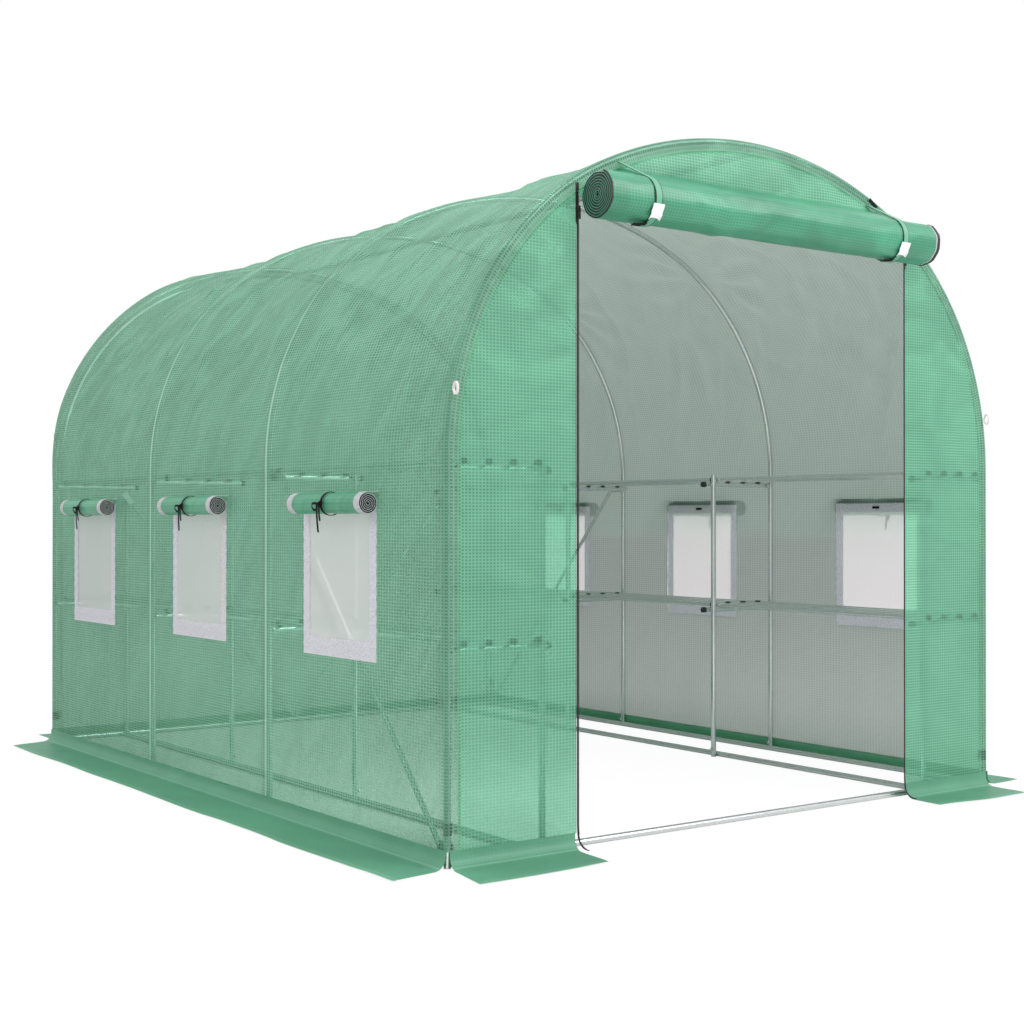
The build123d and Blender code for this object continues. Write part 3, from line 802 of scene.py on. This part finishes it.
skirt_finish, tree = finish_named("skirt_sheet")
cut = add(tree, "UVMap", uv_map="cut")
skirt_grid = add(tree, "Group", node_tree=grid_group, Cut=cut, Pitch_X=wall_pitch[0], Pitch_Y=wall_pitch[1],
                 Line=0.12)
soil = add(tree, "TexNoise", Vector=add(tree, "TexCoord").outputs["Object"], Scale=6, Detail=5)
plain = add(tree, "MixRGB", Fac=skirt_grid, Color1=colour(112, 186, 152), Color2=colour(126, 188, 160))
clouded = ranged(tree, soil, 0.3, 0.7, 0.90, 1.06)
skirt_tone = tinted(tree, plain, clouded)
sewn_share = reckon(tree, "DIVIDE", add(tree, "SeparateXYZ", _0=cut), skirt_run)
sewn = grey_ramp(tree, sewn_share, 0, 1, ((0.20, 0.0), (0.22, 0.55), (0.235, 0.0), (0.905, 0.0), (0.915, 0.7),
                                          (0.93, 0.0), (0.975, 0.1)))
skirt_sewn = add(tree, "MixRGB", Fac=sewn, Color1=skirt_tone, Color2=colour(190, 228, 208))
skirt_bump = add(tree, "Bump", Strength=0.3, Distance=0.0005, Height=skirt_grid)
skirt_shader = add(tree, "BsdfPrincipled", Base_Color=skirt_sewn, Roughness=0.45, Normal=skirt_bump)
skirt_glow = add(tree, "BsdfTranslucent", Color=colour(120, 190, 150))
add(tree, "OutputMaterial", Surface=add(tree, "MixShader", Fac=0.35, _1=skirt_shader, _2=skirt_glow))


def skirt_section(run):
    """Out from the wall and up, at a distance down and out along the skirt."""
    if run < skirt_seam:
        return 0, hem_height + 0.003 - run
    run -= skirt_seam
    if run < bend_run:
        turn = run / skirt_bend
        return skirt_bend * (1 - cos(turn)), 0.001 + skirt_bend * (1 - sin(turn))
    return skirt_bend + run - bend_run, 0.001


skirt_end = half_length + 0.011
for name, outward, start, stop, first_slant, last_slant, near_reach in (
    ("left", (-1, 0, 0), -skirt_end, skirt_end, -0.048, -0.098, 1.0),
    ("right", (1, 0, 0), -skirt_end, skirt_end, -0.010, -0.060, 0.78),
    ("front_left", (0, -1, 0), -hoop_half_width, -door_half - 0.006, -0.037, -0.037, 1.0),
    ("front_right", (0, -1, 0), door_half + 0.006, hoop_half_width, -0.037, -0.037, 0.84),
    ("rear", (0, 1, 0), -hoop_half_width, hoop_half_width, 0, 0, 1.0),
):
    outward = Vector(outward)
    way = Vector((abs(outward.y), abs(outward.x), 0))
    base = wall_sheet + 0.001 if outward.x else half_length + 0.013

    def skirt_point(run, along):
        """Point of a skirt; its free edge is a little uneven and lifts off the ground in places."""
        part = (along - start) / (stop - start)
        drawn = 1 - (1 - near_reach) * (1 - ramp(part, 0.05, 0.6))
        drawn -= 0.006 * (0.5 + noise.noise(Vector((along * 1.9, base, 6.2))))
        flat_run = skirt_seam + bend_run
        if run > flat_run:
            run = flat_run + (run - flat_run) * drawn
        out, up = skirt_section(run)
        free = ramp(out, skirt_bend, skirt_reach)
        along += (first_slant + (last_slant - first_slant) * part) * out / skirt_reach
        lift = free * 0.006 * max(0, noise.noise(Vector((along * 3.3, base * 2, 2.2))) + 0.18)
        lift += 0.0025 * free * (1 + sin(along * 9 + base)) * 0.5
        return outward * (base + out) + way * along + Vector((0, 0, up + lift))

    skirt = cloth("ground_skirt_" + name, evenly([0, skirt_seam, skirt_seam + bend_run, skirt_run], 0.009),
                  evenly([start, stop], 0.02), skirt_point, [skirt_finish], "skirt_" + name,
                  flip=name in ("left", "rear"))


# Door zips: a black coil zip runs up each side of the doorway. The fixed half is sewn along the panel
# beside the doorway, and its foot bends out on to the skirt.
zip_width = 0.010
zip_shown = 0.0055
zip_foot = 0.014
zip_top = arch_height(door_half + zip_width) + 0.028
zip_length = zip_top - hem_height + bend_run + zip_foot
zip_roll_height = 1.775
tooth_step = 0.0028
tooth_size = (0.0040, 0.0022, 0.0016, 1)
slider_height = 1.815
slider_size = (0.011, 0.006, 0.016, 1)
pull_size = (0.006, 0.0018, 0.030, 1)
zip_finish = fine_finish("black_zip_tape", "TexNoise", ((17, 17, 19), (40, 40, 43)), 0.55, 0.4, Scale=700,
                         Detail=2)


def zip_line(run):
    """Place out from the end wall and up, at a distance down the zip from its top."""
    fall = zip_top - hem_height - run
    if fall > 0:
        return 0.0012, hem_height + fall
    out, up = skirt_section(skirt_seam - fall - 0.006)
    return out + 0.0015, up + 0.0025


for side_name, side in sides:
    def zip_point(a, run):
        """Point of the tape; its foot wanders slightly towards the opening."""
        out, up = zip_line(run)
        foot = ramp(run, zip_length - 0.10, zip_length)
        if zip_top - run < zip_roll_height:
            a *= zip_shown / zip_width
        return Vector((side * (door_half - 0.005 + a) + 0.006 * foot, -(end_sheet + 0.003 + out), up))

    cloth("door_zip_tape_" + side_name, evenly([0, zip_width], 0.005),
          evenly([0, zip_top - hem_height - 0.05, zip_length], 0.012), zip_point, [zip_finish],
          "door_zips", 0.0014, flip=side < 0)
    bm = bmesh.new()
    for i in range(int((zip_length - 0.012) / tooth_step)):
        foot = zip_point(0.0018, i * tooth_step)
        ahead = zip_point(0.0018, i * tooth_step + tooth_step) - foot
        turned = ahead.to_track_quat("Z", "Y").to_matrix().to_4x4()
        turned = Matrix.Translation(foot + Vector((0, -0.0010, 0))) @ turned
        bmesh.ops.create_cube(bm, size=1, matrix=turned @ Matrix.Diagonal(tooth_size))
    sheet_piece("door_zip_teeth_" + side_name, bm, [zip_finish], "door_zips")
    bm = bmesh.new()
    slider = zip_point(0.002, zip_top - slider_height) + Vector((0, -0.004, 0))
    bmesh.ops.create_cube(bm, size=1, matrix=Matrix.Translation(slider) @ Matrix.Diagonal(slider_size))
    bmesh.ops.bevel(bm, geom=bm.edges[:], offset=0.002, segments=2, profile=0.5, affect="EDGES", material=-1)
    hung = Matrix.Translation(slider + Vector((0, -0.0045, -0.016)))
    bmesh.ops.create_cube(bm, size=1, matrix=hung @ Matrix.Diagonal(pull_size))
    sheet_piece("door_zip_slider_" + side_name, bm, [zip_finish], "door_zips")


# Door: a sheet panel edged with the other half of the zip, rolled up above the doorway. The rings of
# the black edge show at both ends of the roll.
door_radius = 0.070
door_out = 0.075
door_face = end_face + door_out
door_height = 1.845
door_left = -0.6855
door_right = 0.7095
door_seam = 1.950
door_edge = 0.0045
door_pitch = 0.0078
door_turns = 8.2
door_axis = (door_out, door_height)
door_section = rolled((0.002, door_seam), door_axis, door_radius - 0.001, door_pitch, door_turns)
door_runs = lengths(door_section)


def door_place(x, index, inward=0):
    """Point of the rolled door, with shallow folds along the roll and a slight kink near its left end."""
    point = door_section[round(index)]
    out, up = point.x - door_out, point.y - door_height
    turn = atan2(out, up)
    first = ramp(-index, -64, -34)
    fold = noise.noise(Vector((x * 3.1, turn * 2.2, 4.4)))
    crease = sin(turn * 9 + x * 4 + 2 * noise.noise(Vector((x * 5, turn, 0))))
    crumple = noise.noise(Vector((x * 21 + turn * 5, turn * 7 - x * 6, 2.6)))
    near = exp(-((x + 0.19) / 0.20) ** 2)
    pulled = exp(-((turn - 0.62 - 0.55 * (x + 0.45)) / 0.12) ** 2) * exp(-((x + 0.10) / 0.38) ** 2)
    wave = first * (0.034 * fold + 0.014 * crease + 0.075 * crumple * near + 0.045 * pulled)
    wave -= inward / max(0.02, hypot(out, up))
    if index < 6:
        wave *= index / 6
        up -= max(0, door_seam - (arch_height(x) - 0.004)) * (1 - index / 6)
    kink = 0.004 * exp(-((x + 0.235) / 0.03) ** 2) * first
    return Vector((x, -(door_face + out * (1 + wave)), door_height + up * (1 + wave) - kink * (up < 0)))


door = cloth("rolled_door", evenly([door_left + door_edge, door_right - door_edge], 0.0155),
             list(range(len(door_section))), door_place, rolled_finishes, "door_roll", 0.0012,
             cut=lambda x, index: (x, door_runs[round(index)]), flip=True)
for end_name, outer, inner, strip_name, inward, finish, slot, thick, first, last in (
    ("left", door_left, 1, "zip", 0.0008, zip_finish, "zip_tape", 0.0036, 0, 1.1),
    ("left", door_left, 1, "hem", 0.0048, rolled_finishes[0], "cover_sheet", 0.0018, 0, 1.1),
    ("right", door_right, -1, "zip", -0.0008, zip_finish, "zip_tape", 0.0026, 0, 2.7),
    ("right", door_right, -1, "hem", 0.0044, rolled_finishes[0], "cover_sheet", 0.0018, 0, 1.1),
    ("right", door_right, -1, "piping", -0.0003, tape_finish, "border_tape", 0.0018, 2.7, 3.9),
):
    start, stop = sorted((outer + inner * door_edge * first, outer + inner * door_edge * last))
    cloth(
        "door_edge_" + strip_name + "_" + end_name, evenly([start, stop], 0.006),
        list(range(6, len(door_section) - 8)), lambda x, index: door_place(x, index, inward), [finish],
        "door_roll", thick, cut=lambda x, index: (x, door_runs[round(index)]), flip=True,
    )


# Door straps: strips of the cover sheet sewn under the arch, led over the roll and round its front, and
# closed below with a patch of white tape and a black tab.
strap_finish, tree = finish_named("strap_sheet")
cut = add(tree, "UVMap", uv_map="cut")
strap_away = reckon(tree, "ABSOLUTE", add(tree, "SeparateXYZ", _0=cut))
# Painted shade: a dark line along both edges of the strap, for the shadow its thickness throws.
strap_edge_shade = ranged(tree, strap_away, 0.0098, 0.0108)
strap_weave = add(tree, "TexWave", Vector=cut, Scale=160, Distortion=0.5).outputs["Fac"]
strap_green = add(tree, "MixRGB", Fac=strap_weave, Color1=colour(92, 158, 128), Color2=colour(112, 180, 148))
strap_tone = add(tree, "MixRGB", Fac=strap_edge_shade, Color1=strap_green, Color2=colour(30, 44, 38))
strap_bump = add(tree, "Bump", Strength=0.3, Distance=0.0004, Height=strap_weave)
strap_shader = add(tree, "BsdfPrincipled", Base_Color=strap_tone, Roughness=0.5, Normal=strap_bump)
add(tree, "OutputMaterial", Surface=strap_shader)
patch_finish = fine_finish("white_patch", "TexWave", ((240, 240, 243), (255, 255, 255)), 0.6, 0.3, Scale=300,
                           Distortion=1)

strap_width = 0.025
strap_inset = 0.170
strap_seam = 1.968
strap_turns = 0.60
strap_section = rolled((0.0015, strap_seam), door_axis, door_radius + 0.0012, 0, strap_turns)
for side_name, place, lean in (("left", door_left + strap_inset, -0.022),
                               ("right", door_right - strap_inset, -0.018)):
    def round_roll(across, turn, reach, drop=0):
        """Point near the roll, at a turn about its axis from the top and a reach from it."""
        return Vector((across, -(door_face + reach * sin(turn)), door_height + reach * cos(turn) - drop))

    def strap_point(a, index):
        """Point of the strap; above the roll it leans to the left up to its seam under the arch."""
        point = strap_section[round(index)]
        rise = max(0, 1 - index / 6)
        return Vector((place + a + lean * rise, -(end_face + point.x), point.y))

    def patch_point(a, b):
        """Point of the white patch, wrapped round the underside of the roll with its corners drawn out."""
        reach = door_radius + 0.0034 + 0.004 * abs(a) ** 3 * (b > 0.5)
        return round_roll(place + 0.020 * a - 0.004 * b, radians(104 + 34 * b), reach, 0.005 * a ** 4 * b)

    def tab_point(a, b):
        """Point of the black tab that sticks out to the left under the roll."""
        return round_roll(place - 0.010 - 0.052 * b, radians(162 + 6 * a), door_radius + 0.004 + 0.006 * b)

    strap = cloth("door_strap_" + side_name, evenly([-strap_width / 2, strap_width / 2], 0.005),
                  list(range(len(strap_section))), strap_point, [strap_finish],
                  "door_straps", 0.0014, cut=lambda a, index: (a, index * 0.009), flip=True)
    cloth("door_strap_patch_" + side_name, evenly([-1, 1], 0.2), evenly([0, 1], 0.125), patch_point,
          [patch_finish], "door_straps", 0.0022, cut=lambda a, b: (a * 0.019, b * 0.04),
          flip=True)
    cloth("door_strap_tab_" + side_name, evenly([-1, 1], 0.5), evenly([0, 1], 0.125), tab_point,
          [ribbon_finish], "door_straps", 0.0016, cut=lambda a, b: (a * 0.006, b * 0.05),
          flip=True)

# A black keeper tab is sewn on the turned edge above the right strap.
cloth("door_strap_keeper", evenly([-0.006, 0.006], 0.006), evenly([0, 0.044], 0.0055),
      lambda a, run: Vector((door_right - strap_inset - 0.014 + 0.84 * run + 0.54 * a,
                             -(end_face + 0.0035), 1.988 - 0.54 * run + 0.84 * a)),
      [ribbon_finish], "door_straps", 0.0016)


# Guy loops: short loops of white webbing stitched to the turned edge of the cover at each corner.
loop_across = 1.121
loop_height = 1.285
loop_width = 0.008
loop_rise = 0.0175
loop_reach = 0.0105
corners = [(end_name + "_" + side_name, end, side)
           for end_name, end in (("front", -1), ("rear", 1)) for side_name, side in sides]
webbing_finish = fine_finish("white_webbing", "TexWave", ((206, 196, 198), (238, 232, 232)), 0.7, 0.4,
                             Scale=260, bands_direction="Y")
for corner, end, side in corners:
    loop_line = []
    for i in range(33):
        turn = radians(-172 + 344 * i / 32)
        pinch = 1 - 0.72 * ramp(abs(turn), 1.6, 3.0)
        out = 0.0137 + loop_reach * cos(turn)
        loop_line.append(Vector((side * loop_across, end * (end_face + out),
                                 loop_height + loop_rise * sin(turn) * pinch)))
    bent_strip("guy_loop_" + corner, loop_line, (1, 0, 0), loop_width, webbing_finish,
               "guy_loops", 0.0018)


# Fasteners: a hexagon bolt with a washer at every joint of rail, crossbar and post, and a black snap
# clip round each corner leg that holds the cover near its foot.
bolt_rows = (hoop_half_width - 0.012, hoop_half_width - 0.328)
bolt_heights = (0.030, 0.578, 1.072)
bolt_steps = ((0.0065, 0.0012, 20, 0.0006), (0.0050, 0.0040, 6, 0.0032))
bm = bmesh.new()
for side in (-1, 1):
    turned = Matrix.Rotation(-side * pi / 2, 4, "Y")
    for along in hoop_places:
        for height in bolt_heights:
            for across in bolt_rows:
                for radius, depth, segments, shift in bolt_steps:
                    place = Matrix.Translation((side * (across - shift), along, height))
                    bmesh.ops.create_cone(bm, cap_ends=True, segments=segments, radius1=radius,
                                          radius2=radius * 0.97, depth=depth, matrix=place @ turned)
sheet_piece("frame_bolts", bm, [zinc])

clip_height = 0.105
clip_width = 0.034
clip_reach = 0.0107
clip_lip = 0.0175
clip_open = radians(150)
for corner, end, side in corners:
    outward_turn = atan2(end, side)
    turns = [outward_turn - clip_open + 2 * clip_open * i / 28 for i in range(29)]
    reaches = [clip_lip] + [clip_reach] * 29 + [clip_lip]
    clip_line = [Vector((side * hoop_half_width + reach * cos(turn),
                         end * half_length + reach * sin(turn), clip_height))
                 for reach, turn in zip(reaches, [turns[0], *turns, turns[-1]])]
    bent_strip("corner_clip_" + corner, clip_line, (0, 0, 1), clip_width, cap_finish, None,
               0.0014)
